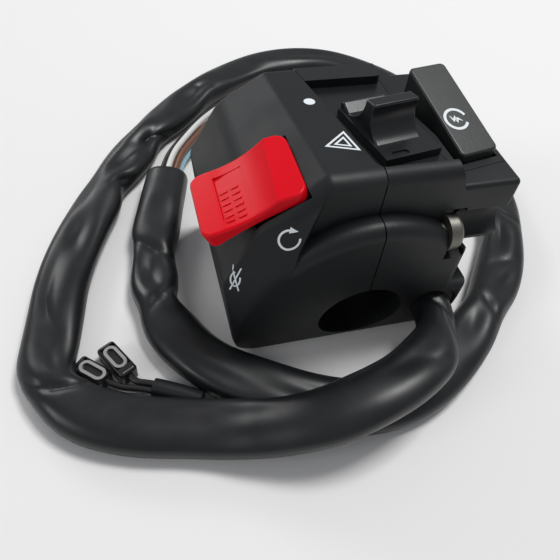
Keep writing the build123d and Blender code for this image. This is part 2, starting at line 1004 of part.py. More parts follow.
def kill_leg(side, gap):
    """One fixed contact's leg, which passes down through the base."""
    middle = side * (kill_pad_offset + kill_pad_length / 2)
    half = kill_leg_thickness / 2 + gap
    half_width = kill_leg_width / 2 + gap
    low = -kill_base_drop - kill_base_thickness - kill_leg_length
    return block_on(
        seat_plane,
        (middle - half, middle + half),
        (-half_width, half_width),
        (low, -kill_base_drop),
    )


def kill_contacts():
    """Two fixed contacts, each a pad under the plunger and a leg below the base."""
    contacts = []
    for side in (-1, 1):
        ends = sorted((side * kill_pad_offset, side * (kill_pad_offset + kill_pad_length)))
        pad = block_on(
            seat_plane,
            tuple(ends),
            (-kill_pad_width / 2, kill_pad_width / 2),
            (-kill_base_drop, kill_pad_thickness - kill_base_drop),
        )
        contacts.append(pad + kill_leg(side, 0))
    return Compound(contacts)


def kill_switch_base():
    base = block_on(
        seat_plane,
        (-kill_base_half_length, kill_base_half_length),
        (-kill_base_near, kill_base_far),
        (-kill_base_drop - kill_base_thickness, -kill_base_drop),
    )
    for side in (-1, 1):
        base = base - kill_leg(side, touch)
        hole = rod_on(
            seat_plane,
            (side * post_spread, post_along),
            base_screw_radius + screw_clearance,
            -kill_base_drop - kill_base_thickness - overrun,
            overrun - kill_base_drop,
        )
        base = base - hole
    return base


def kill_base_screws():
    """Two small screws that hold the base to its posts."""
    screws = []
    low = -kill_base_drop - kill_base_thickness
    for side in (-post_spread, post_spread):
        place = (side, post_along)
        shank = rod_on(seat_plane, place, base_screw_radius, low, low + base_screw_length)
        head_low = low - base_screw_head_height
        head = rod_on(seat_plane, place, base_screw_head_radius, head_low, low)
        screws.append(head + shank)
    return Compound(screws)


def hazard_slot_plate():
    """The knob's running floor, its flange, the far rim bar, and the stem's guide slot."""
    right = -fit_gap
    plate = slot_outline(-fit_gap, right, deck_length)
    flange = slot_outline(slot_flange, right, deck_length - wall - fit_gap)
    body = deck_prism(plate, hazard_floor, -slot_depth)
    body = body + deck_prism(flange, hazard_floor, -wall - slider_gap)
    bar = plate & closed(
        (-slot_left_far, rim_start),
        (rim_reach, rim_start),
        (rim_reach, deck_length),
        (-slot_left_far, deck_length),
    )
    bar = round_corner(bar, (rim_reach, rim_start), rim_corner_radius)
    body = body + deck_prism(bar, -slot_depth - touch, 0)
    guide = block_on(
        slider_plane,
        (stem_left - fit_gap, stem_left + stem_width + fit_gap),
        (stem_near - fit_gap, stem_near + stem_length + slide_travel + fit_gap),
        (hazard_floor - overrun, overrun - slot_depth),
    )
    return body - guide


def knob_outline():
    """The knob's side: thumb scoop, narrow top, hollow back and upturned tail."""
    plate_top = slider_foot + slider_thickness
    scoop_low = (scoop_start, plate_top)
    top_near = (knob_near, slider_foot + knob_rise)
    top_far = (knob_near + knob_top_length, slider_foot + knob_rise - knob_top_fall)
    back_low = (back_foot, slider_foot + back_foot_rise)
    tail_near = (tail_start, slider_foot + tail_rise)
    tail_far = (slider_length, slider_foot + tail_rise)
    lines = [
        Line((0, slider_foot), (0, plate_top)),
        Line((0, plate_top), scoop_low),
        ThreePointArc(scoop_low, (scoop_middle, slider_foot + scoop_rise), top_near),
        Line(top_near, top_far),
        ThreePointArc(top_far, (back_middle, slider_foot + back_rise), back_low),
        Line(back_low, tail_near),
        Line(tail_near, tail_far),
        Line(tail_far, (slider_length, slider_foot)),
        Line((slider_length, slider_foot), (0, slider_foot)),
    ]
    return make_face(Curve() + lines)


def hazard_knob():
    side = Plane(
        origin=slider_plane.from_local_coords((knob_left, 0, 0)),
        x_dir=slider_plane.y_dir,
        z_dir=slider_plane.x_dir,
    )
    knob = extrude(side * knob_outline(), amount=knob_width)
    upper = [
        edge
        for edge in knob.edges()
        if slider_plane.to_local_coords(edge.center()).Z > slider_foot + slider_thickness + touch
    ]
    knob = fillet(upper, knob_edge_radius)
    plate = block_on(
        slider_plane,
        (0, slider_width),
        (0, slider_length),
        (slider_foot, slider_foot + slider_thickness),
    )
    stem = block_on(
        slider_plane,
        (stem_left, stem_left + stem_width),
        (stem_near, stem_near + stem_length),
        (slider_foot - stem_depth, slider_foot + touch),
    )
    dimple = extrude(
        slider_plane.offset(slider_foot + slider_thickness - dimple_depth)
        * Pos(dimple_left, dimple_near)
        * SlotOverall(dimple_length, dimple_width),
        amount=overrun,
    )
    return knob + plate + stem - dimple


def hazard_contact_blade():
    """The moving contact, on the foot of the knob's stem."""
    top = slider_foot - stem_depth
    return block_on(
        slider_plane,
        (stem_left - blade_overhang, stem_left + stem_width + blade_overhang),
        (stem_near, stem_near + stem_length),
        (top - blade_thickness, top),
    )


def hazard_switch_base():
    """An open tray under the slot plate."""
    outside = block_on(
        slider_plane,
        (tray_left, tray_left + tray_width),
        (tray_near, tray_near + tray_length),
        (hazard_floor - tray_depth, hazard_floor),
    )
    inside = block_on(
        slider_plane,
        (tray_left + tray_wall, tray_left + tray_width - tray_wall),
        (tray_near + tray_wall, tray_near + tray_length - tray_wall),
        (hazard_floor - tray_depth + tray_wall, hazard_floor + overrun),
    )
    return outside - inside


def hazard_fixed_contacts():
    """Three contact rivets on the tray's floor, under the moving contact's path."""
    low = hazard_floor - tray_depth + tray_wall
    high = slider_foot - stem_depth - blade_thickness - slider_gap
    middle = (stem_left + stem_width / 2, stem_near + (stem_length + slide_travel) / 2)
    rivets = [
        rod_on(slider_plane, (middle[0], middle[1] + step * rivet_pitch), rivet_radius, low, high)
        for step in (-1, 0, 1)
    ]
    return Compound(rivets)


def start_bezel():
    """The cap round the start button, which closes that corner of the start side half."""
    body = start_body() & bezel_zone(0, bezel_foot, platform_height)
    inside = block_on(
        button_plane,
        (-button_gap, far),
        (-button_hook - button_gap, far),
        (bezel_foot - overrun, bezel_ceiling),
    )
    inside = inside & block(
        (-far, lower_reach - wall), (-far, far_wall_inside), (-far, far)
    )
    opening = block_on(
        button_plane,
        (-button_gap, button_width + button_gap),
        (-button_gap, button_length + button_gap),
        (bezel_foot - overrun, far),
    )
    return body - inside - opening


def start_button():
    """The start button: a sloped top, thin skirt walls, and a hook at each end."""
    width_range = (0, button_width)
    length_range = (0, button_length)
    rise = button_length * math.tan(math.radians(button_slope))
    body = block_on(button_plane, width_range, length_range, (button_foot, button_front_height + rise))
    upright = edges_where(body, lambda b: b.size.Z > button_front_height - button_foot)
    body = fillet(upright, button_corner_radius)
    top = Plane(
        origin=button_plane.from_local_coords((0, 0, button_front_height)),
        x_dir=button_plane.x_dir,
        z_dir=-button_plane.y_dir * math.sin(math.radians(button_slope))
        + Vector(0, 0, math.cos(math.radians(button_slope))),
    )
    body = body - extrude(top * Rectangle(2 * far, 2 * far), amount=far)
    rim = edges_where(body, lambda b: b.min.Z > button_foot + touch)
    rim = [edge for edge in rim if abs(top.to_local_coords(edge.center()).Z) < touch]
    body = fillet(rim, button_edge_radius)
    inside = block_on(
        button_plane,
        (button_wall, button_width - button_wall),
        (button_wall, button_length - button_wall),
        (button_foot - overrun, button_ceiling),
    )
    body = body - inside
    for start in (-button_hook, button_length - touch):
        hook = block_on(
            button_plane,
            (button_hook_inset, button_width - button_hook_inset),
            (start, start + button_hook + touch),
            (button_foot, button_foot + button_hook_thickness),
        )
        body = body + hook
    return body


def start_base_top():
    return bezel_foot


def start_spring():
    """The start button's return spring, from its base to the button's ceiling."""
    plane = button_plane.offset(start_base_top()) * Pos(button_width / 2, spring_along)
    height = button_ceiling - start_base_top()
    rise = height - spring_wire
    helix = Helix(pitch=rise / spring_turns, height=rise, radius=spring_radius)
    section = Plane(origin=helix @ 0, z_dir=helix % 0) * RegularPolygon(spring_wire / 2, 8)
    return plane * Pos(0, 0, spring_wire / 2) * sweep(section, path=helix)


def start_contact_blade():
    """The moving contact, on the foot of the start button's skirt."""
    return block_on(
        button_plane,
        (touch, button_width - touch),
        (start_blade_along, start_blade_along + start_blade_length),
        (button_foot - blade_thickness, button_foot),
    )


def start_switch_base():
    """The plate under the start button, with the spring's post on it."""
    top = start_base_top()
    plate = block_on(
        button_plane,
        (-start_base_left, start_base_width - start_base_left),
        (-start_base_near, start_base_length - start_base_near),
        (top - start_base_thickness, top),
    )
    plate = plate & block(
        (-far, lower_reach - wall - fit_gap), (-far, far), (-far, far)
    )
    radius = spring_radius - spring_wire / 2 - spring_post_gap
    post = rod_on(
        button_plane, (button_width / 2, spring_along), radius, top - touch, top + spring_post_height
    )
    return plate + post


def start_fixed_contacts():
    """Two contact rivets on the base, which the blade closes at the end of its travel."""
    low = start_base_top()
    high = button_foot - blade_thickness - button_travel - slider_gap
    along = start_blade_along + start_blade_length / 2
    return Compound(
        [
            rod_on(button_plane, (across, along), rivet_radius, low, high)
            for across in (2 * rivet_radius, button_width - 2 * rivet_radius)
        ]
    )


def clamp_screws():
    """The two long screws that draw the halves together, heads on the start side."""
    screws = []
    for place in screw_places():
        seat = screw_seat + washer_thickness
        shank = rod_along((1, 0, 0), screw_radius, screw_tip_reach + seat, (-screw_tip_reach, *place))
        head = rod_along((1, 0, 0), screw_head_radius, screw_head_height, (seat, *place))
        rim = head.edges().filter_by(GeomType.CIRCLE).sort_by(Axis.X)[-1]
        head = fillet(rim, driver_slot_depth)
        top = seat + screw_head_height
        slots = [
            Pos(top, *place) * Box(2 * driver_slot_depth, driver_slot_length, driver_slot_width),
            Pos(top, *place) * Box(2 * driver_slot_depth, driver_slot_width, driver_slot_length),
        ]
        screws.append(head + shank - slots[0] - slots[1])
    return Compound(screws)


def screw_washers():
    washers = []
    for place in screw_places():
        disc = rod_along((1, 0, 0), washer_radius, washer_thickness, (screw_seat, *place))
        hole = rod_along(
            (1, 0, 0), screw_radius + screw_clearance, far, (screw_seat - overrun, *place)
        )
        washers.append(disc - hole)
    return Compound(washers)


def harness_grommet():
    """The rubber grommet that the sleeve leaves through."""
    near = (grommet_x, grommet_recess - collar_face, grommet_height)
    length = grommet_length - grommet_flange_length
    tube = rod_along((0, 1, 0), grommet_radius, length, near)
    flange = rod_along((0, -1, 0), grommet_radius + grommet_flange, grommet_flange_length, near)
    rim = flange.edges().filter_by(GeomType.CIRCLE).sort_by(Axis.Y)[0]
    flange = fillet(rim, grommet_flange / 2)
    bore_start = (grommet_x, grommet_length + grommet_recess - collar_face, grommet_height)
    bore = rod_along((0, -1, 0), grommet_bore, 2 * grommet_length, bore_start)
    return tube + flange - bore


def corner_radii(points):
    """The largest even arc at each corner of a route: 0.45 of its shorter run allows it."""
    share = 0.45
    radii = []
    for before, corner, after in zip(points, points[1:], points[2:]):
        run_in = Vector(*corner) - Vector(*before)
        run_out = Vector(*after) - Vector(*corner)
        turn = math.radians(run_in.get_angle(run_out))
        radii.append(share * min(run_in.length, run_out.length) / math.tan(turn / 2))
    return radii


def cord_tube(name, points, diameter):
    """A cord's stretch: straight runs joined by tangent arcs."""
    radii = corner_radii(points)
    path = FilletPolyline(*points, radius=radii)
    section = Plane(origin=path @ 0, z_dir=path % 0) * Circle(diameter / 2)
    tube = sweep(section, path=path)
    expected = math.pi * diameter**2 / 4 * path.length
    print(
        f"{name}: length {path.length:.1f}, least radius {min(radii):.1f}, "
        f"radii {[round(radius, 1) for radius in radii]}, "
        f"volume {tube.volume:.1f} of {expected:.1f}"
    )
    return tube


def wire_points(name):
    """A wire's route: the bundle's line, moved sideways and up by the wire's own place."""
    (out, rise), (column, row) = wire_places[name]
    last = len(loom_route) - 1
    points = []
    for index, (x, y) in enumerate(loom_route):
        if index < 2:
            before, after = loom_route[0], loom_route[1]
        elif index > last - 2:
            before, after = loom_route[last - 1], loom_route[last]
        else:
            before, after = loom_route[index - 1], loom_route[index + 1]
        run = math.dist(before, after)
        left = ((before[1] - after[1]) / run, (after[0] - before[0]) / run)
        share = min(1, max(0, index - last + 3) / 2)
        aside = out * (1 - share) + column * connector_column * share
        height = rise * (1 - share) + row * share
        points.append((x + left[0] * aside, y + left[1] * aside, height))
    return points


def terminal_wire_points(side, lead, boot):
    """A brake switch wire's route, from the branch's end face square into its boot."""
    before, end = branch_route[-2:]
    run = math.dist(before, end)
    along = ((end[0] - before[0]) / run, (end[1] - before[1]) / run)
    start = (
        end[0] - side * branch_wire_spread * along[1],
        end[1] + side * branch_wire_spread * along[0],
        end[2],
    )
    straight = (start[0] + lead * along[0], start[1] + lead * along[1], end[2])
    bend = boot.from_local_coords((-lead, 0, boot_height / 2))
    goal = boot.from_local_coords((0, 0, boot_height / 2))
    return [start, straight, (bend.X, bend.Y, bend.Z), (goal.X, goal.Y, goal.Z)]


def main_connector():
    """The plug that the six wires end in: a shell with a latch, open at its mating end."""
    half = connector_width / 2
    near = connector_face_y - connector_length
    shell = block(
        (connector_x - half, connector_x + half), (near, connector_face_y), (0, connector_height)
    )
    shell = fillet(shell.edges().filter_by(Axis.Y), connector_edge_radius)
    mouth = block(
        (connector_x - half + connector_wall, connector_x + half - connector_wall),
        (near - overrun, near + connector_mouth_depth),
        (connector_wall, connector_height - connector_wall),
    )
    latch_half = latch_width / 2
    foot = connector_height + latch_gap
    latch = block(
        (connector_x - latch_half, connector_x + latch_half),
        (near, near + latch_length),
        (foot, foot + latch_thickness),
    )
    root = block(
        (connector_x - latch_half, connector_x + latch_half),
        (near + latch_length - latch_thickness, near + latch_length),
        (connector_height - touch, foot + touch),
    )
    return shell - mouth + latch + root


def boot_plane(start, turn):
    angle = math.radians(turn)
    return Plane(
        origin=(*start, 0), x_dir=(math.cos(angle), math.sin(angle), 0), z_dir=(0, 0, 1)
    )


def boot_planes():
    return (
        boot_plane(near_boot_start, near_boot_turn),
        boot_plane(far_boot_start, far_boot_turn),
    )


def boot_lengths():
    return (near_boot_length, far_boot_length)


def terminal_boots():
    """The soft boots round the two brake switch terminals, each with its window."""
    boots = []
    for plane, length in zip(boot_planes(), boot_lengths()):
        half = boot_width / 2
        body = block_on(plane, (0, length), (-half, half), (0, boot_height))
        upper = edges_where(body, lambda b: b.max.Z > touch)
        body = fillet(upper, boot_edge_radius)
        inset = terminal_inset - fit_gap
        reach = terminal_length + 2 * fit_gap
        half_window = terminal_width / 2 + fit_gap
        window = block_on(
            plane,
            (length - inset - reach, length - inset),
            (-half_window, half_window),
            (boot_height - terminal_wire - fit_gap, far),
        )
        boots.append(body - window)
    return Compound(boots)


def brake_terminals():
    """Two blade terminals, each a long metal loop in its boot's window."""
    terminals = []
    for plane, length in zip(boot_planes(), boot_lengths()):
        middle = (length - terminal_inset - terminal_length / 2, 0)
        low = boot_height - terminal_wire - fit_gap
        outside = SlotOverall(terminal_length, terminal_width)
        inside = SlotOverall(
            terminal_length - 2 * terminal_wire, terminal_width - 2 * terminal_wire
        )
        ring = extrude(
            plane.offset(low) * Pos(*middle) * (outside - inside), amount=terminal_wire
        )
        terminals.append(ring)
    return Compound(terminals)


parts = {
    "kill_side_housing": kill_side_housing(),
    "start_side_housing": start_side_housing(),
    "kill_rocker": kill_rocker(),
    "rocker_pin": rocker_pin(),
    "rocker_plunger": rocker_plunger(),
    "rocker_spring": rocker_spring(),
    "kill_switch_base": kill_switch_base(),
    "kill_contacts": kill_contacts(),
    "kill_base_screws": kill_base_screws(),
    "hazard_slot_plate": hazard_slot_plate(),
    "hazard_knob": hazard_knob(),
    "hazard_contact_blade": hazard_contact_blade(),
    "hazard_switch_base": hazard_switch_base(),
    "hazard_fixed_contacts": hazard_fixed_contacts(),
    "start_bezel": start_bezel(),
    "start_button": start_button(),
    "start_spring": start_spring(),
    "start_contact_blade": start_contact_blade(),
    "start_switch_base": start_switch_base(),
    "start_fixed_contacts": start_fixed_contacts(),
    "clamp_screws": clamp_screws(),
    "screw_washers": screw_washers(),
    "harness_grommet": harness_grommet(),
    "harness_sleeve": cord_tube("harness_sleeve", sleeve_route, sleeve_diameter),
    "main_connector": main_connector(),
    "brake_branch_sleeve": cord_tube("brake_branch_sleeve", branch_route, branch_diameter),
    "near_terminal_wire": cord_tube(
        "near_terminal_wire",
        terminal_wire_points(1, near_wire_lead, boot_planes()[0]),
        branch_wire_diameter,
    ),
    "far_terminal_wire": cord_tube(
        "far_terminal_wire",
        terminal_wire_points(-1, far_wire_lead, boot_planes()[1]),
        branch_wire_diameter,
    ),
    "terminal_boots": terminal_boots(),
    "brake_terminals": brake_terminals(),
}
for wire in wire_places:
    parts[wire] = cord_tube(wire, wire_points(wire), wire_diameter)

# The origin is under the middle of the switch housing, on the surface that it rests on.
loose = ("harness_sleeve", "main_connector", "brake_", "near_terminal", "far_terminal", "terminal_")
fixed = [shape for name, shape in parts.items() if not name.startswith(loose) and "wire" not in name]
extent = Compound(fixed).bounding_box()
middle = extent.center()
to_origin = Pos(-middle.X, -middle.Y, -extent.min.Z)
print("moved by", [round(value, 3) for value in (-middle.X, -middle.Y, -extent.min.Z)])
os.makedirs("parts", exist_ok=True)
for name, shape in parts.items():
    export_step(to_origin * shape, f"parts/{name}.step")
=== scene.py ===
import math

import bpy
from mathutils import Matrix, Vector, noise
from mathutils.bvhtree import BVHTree


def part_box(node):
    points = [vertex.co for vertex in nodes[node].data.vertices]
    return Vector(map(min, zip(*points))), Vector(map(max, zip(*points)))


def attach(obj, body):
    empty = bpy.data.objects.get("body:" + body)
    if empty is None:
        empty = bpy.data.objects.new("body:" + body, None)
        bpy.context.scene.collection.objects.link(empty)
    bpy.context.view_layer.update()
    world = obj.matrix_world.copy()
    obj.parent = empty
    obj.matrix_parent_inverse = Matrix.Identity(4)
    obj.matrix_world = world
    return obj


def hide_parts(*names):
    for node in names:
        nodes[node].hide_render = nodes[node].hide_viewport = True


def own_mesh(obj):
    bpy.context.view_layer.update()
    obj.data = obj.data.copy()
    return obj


# Handlebar switch cluster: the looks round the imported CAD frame. Lengths here are written in
# millimetres, in the axes that part.py draws in, and at() brings them to the frame's metres.

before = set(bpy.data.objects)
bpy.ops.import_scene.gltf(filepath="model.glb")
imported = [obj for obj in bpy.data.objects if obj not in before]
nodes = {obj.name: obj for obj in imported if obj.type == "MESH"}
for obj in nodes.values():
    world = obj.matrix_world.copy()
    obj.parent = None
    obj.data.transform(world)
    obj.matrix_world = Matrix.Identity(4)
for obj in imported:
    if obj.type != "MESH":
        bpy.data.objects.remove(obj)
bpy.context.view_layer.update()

MM = 0.001
SHIFT = Vector((2.401, -2.7, 0.0))


def at(x, y, z=0.0):
    """A place in the part's drawing axes, in millimetres, brought to the frame's metres."""
    return (Vector((x, y, z)) + SHIFT) * MM


# Camera, solved from the housing's edges in the photograph
CAMERA_EYE = (-50.53, -98.18, 127.78)
CAMERA_AZIMUTH = math.radians(-20)
CAMERA_ELEVATION = math.radians(50)
CAMERA_ROLL = math.radians(7)
CAMERA_LENS = 36
CAMERA_SENSOR = 36
# The nearest and furthest distance that the camera shows, in metres
CAMERA_NEAR = 0.005
CAMERA_FAR = 20

# Routes of the free cords, as in the part's source but for four points at the sleeve's corner
SLEEVE_ROUTE = [
    (20.0, -19.4, 11.8),
    (20.0, -26.6, 11.8),
    (15.0, -37.0, 15.6),
    (4.6, -44.2, 16.8),
    (-6.6, -47.4, 16.0),
    (-18.0, -48.4, 13.0),
    (-30.0, -45.8, 7.6),
    (-43.5, -41.0, 5.0),
    (-58.6, -37.4, 5.0),
    (-71.2, -31.4, 5.0),
    (-79.4, -20.3, 5.0),
    (-76.8, -4.6, 5.0),
    (-74.4, 11.8, 5.0),
    (-67.6, 31.0, 5.0),
    (-57.6, 51.5, 5.0),
    (-44.2, 72.5, 5.0),
    (-25.0, 94.8, 5.0),
    (0.4, 113.2, 5.0),
    (28.0, 117.4, 5.0),
    (50.2, 102.4, 5.0),
    (63.8, 78.4, 5.0),
    (68.8, 53.0, 5.0),
    (68.8, 29.0, 5.0),
    (62.9, 8.0, 5.0),
    (50.6, -11.6, 5.0),
    (35.4, -26.4, 5.0),
    (21.6, -36.8, 5.0),
    (9.0, -43.2, 5.0),
    (-4.5, -44.6, 5.0),
    (-17.0, -40.0, 5.0),
    (-28.2, -33.0, 5.0),
    (-39.8, -24.8, 5.0),
    (-47.4, -12.6, 5.0),
    (-50.6, 2.2, 5.0),
    (-49.4, 17.4, 5.0),
    (-45.2, 32.0, 5.0),
    (-41.0, 47.5, 5.0),
]
SLEEVE_DIAMETER = 10.0
SLEEVE_RADIUS = SLEEVE_DIAMETER / 2
LOOM_ROUTE = [
    (-41.0, 47.5),
    (-38.48, 56.8),
    (-32.2, 66.4),
    (-24.0, 77.0),
    (-13.4, 86.0),
    (-1.0, 89.4),
    (9.4, 85.4),
    (13.0, 76.0),
    (13.0, 66.0),
]
BRANCH_ROUTE = [(-43.2, -32.9, 2.5), (-48.8, -29.4, 2.5), (-54.0, -27.0, 2.5)]
NEAR_TERMINAL_ROUTE = [
    (-54.4, -27.86, 2.5),
    (-57.49, -26.44, 2.5),
    (-62.49, -24.89, 2.2),
    (-65.0, -22.6, 2.2),
]
FAR_TERMINAL_ROUTE = [
    (-53.6, -26.14, 2.5),
    (-55.6, -25.22, 2.5),
    (-58.18, -24.3, 2.2),
    (-59.3, -22.4, 2.2),
]
BRANCH_DIAMETER = 5.0
BRANCH_WIRE_DIAMETER = 1.8
WIRE_DIAMETER = 2.0
CONNECTOR_COLUMN = 5.0
ROW_LOW = 3.4
ROW_HIGH = 8.6
# Points at the bundle's ends that keep its end's direction, and steps in which it fans out
STRAIGHT_POINTS = 2
FAN_STEPS = 2
# Each wire's place in the bundle, aside and up, then its column and row at the connector
WIRE_PLACES = {
    "black_wire": ((2.2, 5.0), (1, ROW_LOW)),
    "white_wire": ((0.0, 6.8), (1, ROW_HIGH)),
    "brown_wire": ((-2.6, 6.2), (-1, ROW_HIGH)),
    "second_brown_wire": ((-0.6, 4.2), (0, ROW_HIGH)),
    "light_blue_wire": ((-3.0, 3.6), (-1, ROW_LOW)),
    "green_yellow_wire": ((-0.8, 1.9), (0, ROW_LOW)),
}


def wire_points(name):
    """A wire's route: the bundle's line, moved sideways and up by the wire's own place."""
    (out, rise), (column, row) = WIRE_PLACES[name]
    last = len(LOOM_ROUTE) - 1
    fan_start = last - FAN_STEPS - 1
    points = []
    for index, (x, y) in enumerate(LOOM_ROUTE):
        if index < STRAIGHT_POINTS:
            before, after = LOOM_ROUTE[0], LOOM_ROUTE[1]
        elif index > last - STRAIGHT_POINTS:
            before, after = LOOM_ROUTE[last - 1], LOOM_ROUTE[last]
        else:
            before, after = LOOM_ROUTE[index - 1], LOOM_ROUTE[index + 1]
        run = math.dist(before, after)
        left = ((before[1] - after[1]) / run, (after[0] - before[0]) / run)
        share = min(1, max(0, index - fan_start) / FAN_STEPS)
        aside = out * (1 - share) + column * CONNECTOR_COLUMN * share
        height = rise * (1 - share) + row * share
        points.append((x + left[0] * aside, y + left[1] * aside, height))
    return points


# Small helpers

CURVE_ORDER = 3
CURVE_STEPS = 12
BEVEL_STEPS = 5
SHORTEST_SPAN = 1e-9


def link(name, data):
    """A new object in the scene."""
    made = bpy.data.objects.new(name, data)
    bpy.context.scene.collection.objects.link(made)
    return made


def mesh_object(name, verts, faces, material, smooth=True):
    """A mesh of one material."""
    mesh = bpy.data.meshes.new(name)
    mesh.from_pydata([tuple(vert) for vert in verts], [], faces)
    mesh.validate()
    mesh.update()
    if smooth:
        mesh.shade_smooth()
    made = link(name, mesh)
    made.data.materials.append(material)
    return made


def nurbs_curve(name, points, radius=0.0):
    """One open NURBS spline with the route's points as its control points."""
    curve = bpy.data.curves.new(name, "CURVE")
    curve.dimensions = "3D"
    spline = curve.splines.new("NURBS")
    spline.points.add(len(points) - 1)
    for target, point in zip(spline.points, points):
        target.co = (*at(*point), 1)
    spline.order_u = CURVE_ORDER
    spline.use_endpoint_u = True
    spline.resolution_u = CURVE_STEPS
    curve.bevel_depth = radius * MM
    curve.bevel_resolution = BEVEL_STEPS
    curve.use_fill_caps = radius > 0
    return link(name, curve)


def spline_line(points):
    """Points read from the route's NURBS spline."""
    guide = nurbs_curve("guide", points)
    bpy.context.view_layer.update()
    graph = bpy.context.evaluated_depsgraph_get()
    mesh = bpy.data.meshes.new_from_object(guide.evaluated_get(graph))
    line = [vertex.co.copy() for vertex in mesh.vertices]
    bpy.data.objects.remove(guide)
    bpy.data.meshes.remove(mesh)
    return line


def resample(line, step):
    """The same line with points a step apart, and its length."""
    spots = [0.0]
    for before, after in zip(line, line[1:]):
        spots.append(spots[-1] + (after - before).length)
    count = max(2, round(spots[-1] / step))
    out = []
    index = 0
    for number in range(count + 1):
        goal = spots[-1] * number / count
        while index < len(line) - 2 and spots[index + 1] < goal:
            index += 1
        span = max(spots[index + 1] - spots[index], SHORTEST_SPAN)
        out.append(line[index].lerp(line[index + 1], (goal - spots[index]) / span))
    return out, spots[-1]


def smooth_step(low, high, value):
    """From 0 below the low value to 1 above the high one, with soft ends."""
    share = min(1.0, max(0.0, (value - low) / (high - low)))
    return share * share * (3 - 2 * share)


# Materials

PATCH_DETAIL = 4
# Values of the patches between which the gloss goes from its least to its most
PATCH_LOW = 0.3
PATCH_HIGH = 0.7
GRAIN_DETAIL = 3
MOULDED_BLACK = (0.0095, 0.0105, 0.0115)
INSULATION_ROUGHNESS = 0.35
INSULATION_GRAIN = 1400


def new_material(name):
    """A material with its nodes and links."""
    material = bpy.data.materials.new(name)
    material.use_nodes = True
    return material, material.node_tree.nodes, material.node_tree.links


def grain_material(
    name,
    colour,
    roughness,
    grain=900.0,
    grain_height=0.02,
    patch=60.0,
    patch_share=0.12,
    specular=0.5,
    metallic=0.0,
):
    """A moulded or coated surface: fine grain in its bump, slow patches in colour and gloss."""
    material, tree, links = new_material(name)
    shader = tree["Principled BSDF"]
    shader.inputs["Metallic"].default_value = metallic
    shader.inputs["Specular IOR Level"].default_value = specular
    places = tree.new("ShaderNodeTexCoord")
    patches = tree.new("ShaderNodeTexNoise")
    patches.inputs["Scale"].default_value = patch
    patches.inputs["Detail"].default_value = PATCH_DETAIL
    links.new(places.outputs["Object"], patches.inputs["Vector"])
    ramp = tree.new("ShaderNodeMix")
    ramp.data_type = "RGBA"
    ramp.inputs["A"].default_value = (*[c * (1 - patch_share) for c in colour], 1)
    ramp.inputs["B"].default_value = (*[min(1, c * (1 + patch_share)) for c in colour], 1)
    links.new(patches.outputs["Fac"], ramp.inputs["Factor"])
    links.new(ramp.outputs["Result"], shader.inputs["Base Color"])
    gloss = tree.new("ShaderNodeMapRange")
    gloss.inputs["From Min"].default_value = PATCH_LOW
    gloss.inputs["From Max"].default_value = PATCH_HIGH
    gloss.inputs["To Min"].default_value = roughness * (1 - patch_share)
    gloss.inputs["To Max"].default_value = roughness * (1 + patch_share)
    links.new(patches.outputs["Fac"], gloss.inputs["Value"])
    links.new(gloss.outputs["Result"], shader.inputs["Roughness"])
    fine = tree.new("ShaderNodeTexNoise")
    fine.inputs["Scale"].default_value = grain
    fine.inputs["Detail"].default_value = GRAIN_DETAIL
    links.new(places.outputs["Object"], fine.inputs["Vector"])
    bump = tree.new("ShaderNodeBump")
    bump.inputs["Strength"].default_value = 1.0
    bump.inputs["Distance"].default_value = grain_height * MM
    links.new(fine.outputs["Fac"], bump.inputs["Height"])
    links.new(bump.outputs["Normal"], shader.inputs["Normal"])
    return material


def insulation(name, colour):
    """A wire's insulation, which differs from wire to wire in colour alone."""
    return grain_material(name, colour, INSULATION_ROUGHNESS, grain=INSULATION_GRAIN)


housing_black = grain_material(
    "housing_black",
    MOULDED_BLACK,
    0.5,
    grain=1500,
    grain_height=0.035,
    specular=0.32,
)
button_black = grain_material(
    "button_black",
    (0.0085, 0.0095, 0.0105),
    0.31,
    grain=1100,
    grain_height=0.01,
    specular=0.45,
)
start_black = grain_material(
    "start_black",
    (0.014, 0.016, 0.016),
    0.42,
    grain=1300,
    grain_height=0.02,
    specular=0.5,
)
rocker_red = grain_material(
    "rocker_red",
    (0.7, 0.003, 0.012),
    0.3,
    grain=700,
    grain_height=0.008,
    patch_share=0.05,
    specular=0.14,
)
inner_brown = grain_material("inner_brown", (0.11, 0.075, 0.045), 0.5, grain=900)
sleeve_black = grain_material(
    "sleeve_black",
    MOULDED_BLACK,
    0.36,
    grain=420,
    grain_height=0.012,
    patch=90,
    patch_share=0.2,
    specular=0.45,
)
rubber_black = grain_material("rubber_black", (0.015, 0.015, 0.015), 0.6, grain=1300)
boot_black = grain_material(
    "boot_black", (0.012, 0.012, 0.012), 0.28, grain=600, grain_height=0.02
)
connector_black = grain_material("connector_black", (0.02, 0.02, 0.021), 0.4, grain=800)
steel = grain_material(
    "steel", (0.56, 0.55, 0.53), 0.32, grain=2600, grain_height=0.006, metallic=1.0
)
dull_steel = grain_material(
    "dull_steel", (0.19, 0.185, 0.165), 0.48, grain=1800, grain_height=0.02, metallic=1.0
)
tinned = grain_material(
    "tinned", (0.36, 0.36, 0.35), 0.42, grain=1500, grain_height=0.015, metallic=1.0
)
brass = grain_material(
    "brass", (0.74, 0.52, 0.22), 0.3, grain=1900, grain_height=0.008, metallic=1.0
)
print_white = grain_material("print_white", (0.8, 0.85, 0.88), 0.45, grain=2500)
wire_black = insulation("wire_black", (0.012, 0.012, 0.012))
wire_white = insulation("wire_white", (0.72, 0.72, 0.7))
wire_brown = insulation("wire_brown", (0.16, 0.065, 0.035))
wire_blue = insulation("wire_blue", (0.3, 0.52, 0.62))
wire_green = insulation("wire_green", (0.4, 0.46, 0.07))

